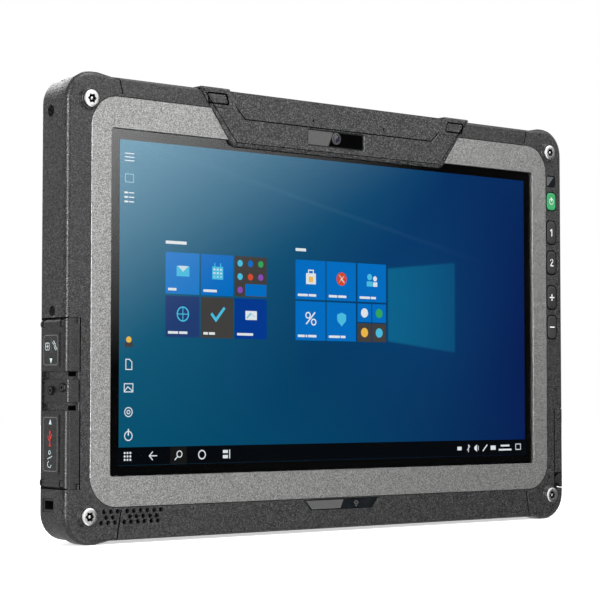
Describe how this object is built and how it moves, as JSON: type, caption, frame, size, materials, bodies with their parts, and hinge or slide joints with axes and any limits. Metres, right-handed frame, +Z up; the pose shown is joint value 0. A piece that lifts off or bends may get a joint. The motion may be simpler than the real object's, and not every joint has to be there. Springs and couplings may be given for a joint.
{
  "type": "rugged field tablet computer",
  "caption": "Rugged landscape tablet for field data collection, with black bumper frame, grey bezel, touch screen, front keys, hinged port doors and rear battery packs.",
  "frame": {"origin": "on the ground plane under the middle of the tablet, which stands upright on its lower corners", "axes": "+X to the right seen from the front, +Y from the screen to the back, +Z up"},
  "size_m": [0.314, 0.0244, 0.207],
  "materials": {
    "bumper_plastic": "fine-grained black moulding",
    "bezel_paint": "light grey metallic paint",
    "bar_plastic": "satin black",
    "plug_rubber": "matte",
    "dark_glass": "gloss, smoked",
    "clear_glass": "gloss, clear, with a printed black border",
    "black_plastic": "satin",
    "circuit_board": "solder mask",
    "display": "lit screen behind the glass",
    "seal_rubber": "matte foam and silicone",
    "flex_film": "polyimide",
    "magnesium": "die-cast, matte",
    "cover_plastic": "fine-grained black moulding",
    "bright_steel": "bright",
    "dark_steel": "black zinc",
    "brass_insert": "machined",
    "door_plastic": "soft-touch black",
    "key_rubber": "satin silicone",
    "copper": "bare copper",
    "chip_black": "moulded",
    "antenna_brass": "stamped",
    "battery_case": "fine-grained black moulding",
    "latch_orange": "satin"
  },
  "bodies": {
    "tablet": {"left_end_cap": "bumper_plastic", "right_end_cap": "bumper_plastic", "top_rail": "bumper_plastic", "bottom_rail": "bumper_plastic", "front_bezel": "bezel_paint", "camera_bar": "bar_plastic", "bar_plugs": "plug_rubber", "camera_window": "dark_glass", "front_camera": "black_plastic", "camera_board": "circuit_board", "touch_glass": "clear_glass", "lcd_panel": "display", "display_gasket": "seal_rubber", "display_cable": "flex_film", "mid_frame": "magnesium", "rear_cover": "cover_plastic", "corner_screws": "bright_steel", "rear_screws": "dark_steel", "strap_inserts": "brass_insert", "key_board": "circuit_board", "light_sensor_window": "dark_glass", "status_window": "dark_glass", "status_board": "circuit_board", "upper_door_pin": "bright_steel", "lower_door_pin": "bright_steel", "media_door_pin": "bright_steel", "port_block": "door_plastic", "port_block_screws": "bright_steel", "port_board": "circuit_board", "usb_c_ports": "bright_steel", "usb_a_port": "bright_steel", "headset_jack": "black_plastic", "card_reader": "bright_steel", "lock_slot": "dark_steel", "speaker": "black_plastic", "main_board": "circuit_board", "heat_spreader": "copper", "ssd_module": "chip_black", "wireless_card": "chip_black", "rear_camera": "black_plastic", "rear_camera_window": "dark_glass", "dock_connector": "black_plastic", "antennas": "antenna_brass"},
    "power_button": {"power_button": "key_rubber"},
    "function_key_1": {"function_key_1": "key_rubber"},
    "function_key_2": {"function_key_2": "key_rubber"},
    "plus_key": {"plus_key": "key_rubber"},
    "minus_key": {"minus_key": "key_rubber"},
    "upper_port_door": {"upper_port_door": "door_plastic", "upper_door_gasket": "seal_rubber"},
    "lower_port_door": {"lower_port_door": "door_plastic", "lower_door_gasket": "seal_rubber"},
    "media_door": {"media_door": "door_plastic", "media_door_gasket": "seal_rubber"},
    "battery_left": {"battery_left": "battery_case"},
    "battery_right": {"battery_right": "battery_case"},
    "latch_left": {"latch_left": "latch_orange"},
    "latch_right": {"latch_right": "latch_orange"}
  },
  "joints": [
    {"name": "power_button_press", "type": "slide", "parent": "tablet", "child": "power_button", "axis": [0, 1, 0], "range_m": [0, 0.0005], "stiffness_N_per_m": 1500},
    {"name": "function_key_1_press", "type": "slide", "parent": "tablet", "child": "function_key_1", "axis": [0, 1, 0], "range_m": [0, 0.0005], "stiffness_N_per_m": 1500},
    {"name": "function_key_2_press", "type": "slide", "parent": "tablet", "child": "function_key_2", "axis": [0, 1, 0], "range_m": [0, 0.0005], "stiffness_N_per_m": 1500},
    {"name": "plus_key_press", "type": "slide", "parent": "tablet", "child": "plus_key", "axis": [0, 1, 0], "range_m": [0, 0.0005], "stiffness_N_per_m": 1500},
    {"name": "minus_key_press", "type": "slide", "parent": "tablet", "child": "minus_key", "axis": [0, 1, 0], "range_m": [0, 0.0005], "stiffness_N_per_m": 1500},
    {"name": "upper_port_door_hinge", "type": "hinge", "parent": "tablet", "child": "upper_port_door", "pos_m": [-0.1546, 0, 0.096], "axis": [0, 1, 0], "range_deg": [0, 100]},
    {"name": "lower_port_door_hinge", "type": "hinge", "parent": "tablet", "child": "lower_port_door", "pos_m": [-0.1546, 0, 0.027], "axis": [0, -1, 0], "range_deg": [0, 100]},
    {"name": "media_door_hinge", "type": "hinge", "parent": "tablet", "child": "media_door", "pos_m": [0.1546, 0, 0.0189], "axis": [0, 1, 0], "range_deg": [0, 100]},
    {"name": "battery_left_slide", "type": "slide", "parent": "tablet", "child": "battery_left", "axis": [0, 1, 0], "range_m": [0, 0.012]},
    {"name": "latch_left_slide", "type": "slide", "parent": "tablet", "child": "latch_left", "axis": [0, 0, 1], "range_m": [0, 0.006]},
    {"name": "battery_right_slide", "type": "slide", "parent": "tablet", "child": "battery_right", "axis": [0, 1, 0], "range_m": [0, 0.012]},
    {"name": "latch_right_slide", "type": "slide", "parent": "tablet", "child": "latch_right", "axis": [0, 0, 1], "range_m": [0, 0.006]}
  ],
  "couplings": [
    {"joint": "latch_left_slide", "follows": "battery_left_slide", "ratio": 0.5},
    {"joint": "latch_right_slide", "follows": "battery_right_slide", "ratio": 0.5}
  ]
}
